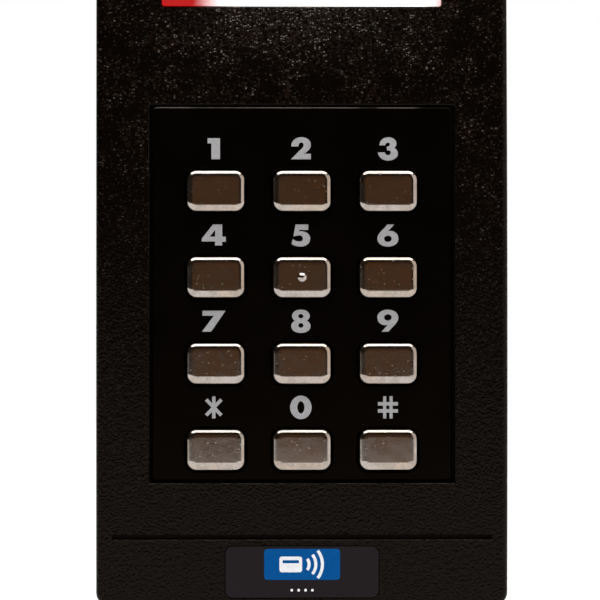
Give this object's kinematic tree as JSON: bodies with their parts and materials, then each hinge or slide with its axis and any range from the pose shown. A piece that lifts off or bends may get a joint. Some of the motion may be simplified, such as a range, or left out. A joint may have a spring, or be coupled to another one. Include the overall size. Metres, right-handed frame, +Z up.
{
  "type": "keypad access reader",
  "caption": "Wall-mounted keypad access reader: grained black housing with a recessed panel of metal keys, a light bar across the top, and a wall plate with slotted screw holes.",
  "frame": {"origin": "middle of the wall-box screw pattern, on the wall plane at the back of the wall plate", "axes": "+Y into the wall, so the reader stands out towards -Y; +Z up; +X to the right of someone facing the keys"},
  "size_m": [0.084, 0.0277, 0.136],
  "materials": {
    "housing_plastic": "coarse moulded grain, near black, satin",
    "panel_plastic": "smooth near-black moulding, satin",
    "adhesive_tape": "thin black foam tape",
    "key_metal": "plated die-cast zinc with fine scratches",
    "plunger_plastic": "natural acetal",
    "mat_silicone": "grey translucent silicone",
    "circuit_board": "glass laminate with green solder mask",
    "screw_steel": "zinc-plated steel",
    "light_lens": "milky diffusing polycarbonate, lit",
    "reflector_plastic": "white moulding",
    "led_resin": "white package with a phosphor dome",
    "label_film": "printed overlay, dark grey with a plain blue badge",
    "coil_copper": "etched copper turns",
    "chip_resin": "moulded epoxy package",
    "crystal_can": "drawn metal can",
    "connector_plastic": "black board connector",
    "buzzer_plastic": "black moulded can",
    "capacitor_can": "aluminium can",
    "terminal_plastic": "green polyamide",
    "rear_plastic": "plain black moulding",
    "plate_plastic": "plain black moulding",
    "gasket_rubber": "closed-cell foam rubber",
    "insert_brass": "knurled brass insert"
  },
  "bodies": {
    "housing": {"front_housing": "housing_plastic", "keypad_panel": "panel_plastic", "panel_tape": "adhesive_tape", "keypad_mat": "mat_silicone", "keypad_board": "circuit_board", "main_board": "circuit_board", "keypad_board_screws": "screw_steel", "board_screws": "screw_steel", "cover_screws": "screw_steel", "security_screw": "screw_steel", "terminal_screws": "screw_steel", "light_bar": "light_lens", "light_chamber": "reflector_plastic", "status_leds": "led_resin", "name_label": "label_film", "antenna_coil": "coil_copper", "processor_chip": "chip_resin", "radio_chip": "chip_resin", "voltage_regulator": "chip_resin", "tamper_sensor": "chip_resin", "crystal": "crystal_can", "board_header": "connector_plastic", "buzzer": "buzzer_plastic", "power_capacitors": "capacitor_can", "terminal_block": "terminal_plastic", "rear_cover": "rear_plastic", "wall_plate": "plate_plastic", "cover_seal": "gasket_rubber", "wall_gasket": "gasket_rubber", "screw_insert": "insert_brass"},
    "key_1": {"key_1": "key_metal", "plunger_1": "plunger_plastic"},
    "key_2": {"key_2": "key_metal", "plunger_2": "plunger_plastic"},
    "key_3": {"key_3": "key_metal", "plunger_3": "plunger_plastic"},
    "key_4": {"key_4": "key_metal", "plunger_4": "plunger_plastic"},
    "key_5": {"key_5": "key_metal", "plunger_5": "plunger_plastic"},
    "key_6": {"key_6": "key_metal", "plunger_6": "plunger_plastic"},
    "key_7": {"key_7": "key_metal", "plunger_7": "plunger_plastic"},
    "key_8": {"key_8": "key_metal", "plunger_8": "plunger_plastic"},
    "key_9": {"key_9": "key_metal", "plunger_9": "plunger_plastic"},
    "key_star": {"key_star": "key_metal", "plunger_star": "plunger_plastic"},
    "key_0": {"key_0": "key_metal", "plunger_0": "plunger_plastic"},
    "key_hash": {"key_hash": "key_metal", "plunger_hash": "plunger_plastic"}
  },
  "joints": [
    {"name": "key_1_press", "type": "slide", "parent": "housing", "child": "key_1", "axis": [0, 1, 0], "range_m": [0, 0.0008], "stiffness_N_per_m": 800, "springref_m": -0.0005, "deforming": ["keypad_mat"]},
    {"name": "key_2_press", "type": "slide", "parent": "housing", "child": "key_2", "axis": [0, 1, 0], "range_m": [0, 0.0008], "stiffness_N_per_m": 800, "springref_m": -0.0005, "deforming": ["keypad_mat"]},
    {"name": "key_3_press", "type": "slide", "parent": "housing", "child": "key_3", "axis": [0, 1, 0], "range_m": [0, 0.0008], "stiffness_N_per_m": 800, "springref_m": -0.0005, "deforming": ["keypad_mat"]},
    {"name": "key_4_press", "type": "slide", "parent": "housing", "child": "key_4", "axis": [0, 1, 0], "range_m": [0, 0.0008], "stiffness_N_per_m": 800, "springref_m": -0.0005, "deforming": ["keypad_mat"]},
    {"name": "key_5_press", "type": "slide", "parent": "housing", "child": "key_5", "axis": [0, 1, 0], "range_m": [0, 0.0008], "stiffness_N_per_m": 800, "springref_m": -0.0005, "deforming": ["keypad_mat"]},
    {"name": "key_6_press", "type": "slide", "parent": "housing", "child": "key_6", "axis": [0, 1, 0], "range_m": [0, 0.0008], "stiffness_N_per_m": 800, "springref_m": -0.0005, "deforming": ["keypad_mat"]},
    {"name": "key_7_press", "type": "slide", "parent": "housing", "child": "key_7", "axis": [0, 1, 0], "range_m": [0, 0.0008], "stiffness_N_per_m": 800, "springref_m": -0.0005, "deforming": ["keypad_mat"]},
    {"name": "key_8_press", "type": "slide", "parent": "housing", "child": "key_8", "axis": [0, 1, 0], "range_m": [0, 0.0008], "stiffness_N_per_m": 800, "springref_m": -0.0005, "deforming": ["keypad_mat"]},
    {"name": "key_9_press", "type": "slide", "parent": "housing", "child": "key_9", "axis": [0, 1, 0], "range_m": [0, 0.0008], "stiffness_N_per_m": 800, "springref_m": -0.0005, "deforming": ["keypad_mat"]},
    {"name": "key_star_press", "type": "slide", "parent": "housing", "child": "key_star", "axis": [0, 1, 0], "range_m": [0, 0.0008], "stiffness_N_per_m": 800, "springref_m": -0.0005, "deforming": ["keypad_mat"]},
    {"name": "key_0_press", "type": "slide", "parent": "housing", "child": "key_0", "axis": [0, 1, 0], "range_m": [0, 0.0008], "stiffness_N_per_m": 800, "springref_m": -0.0005, "deforming": ["keypad_mat"]},
    {"name": "key_hash_press", "type": "slide", "parent": "housing", "child": "key_hash", "axis": [0, 1, 0], "range_m": [0, 0.0008], "stiffness_N_per_m": 800, "springref_m": -0.0005, "deforming": ["keypad_mat"]}
  ]
}
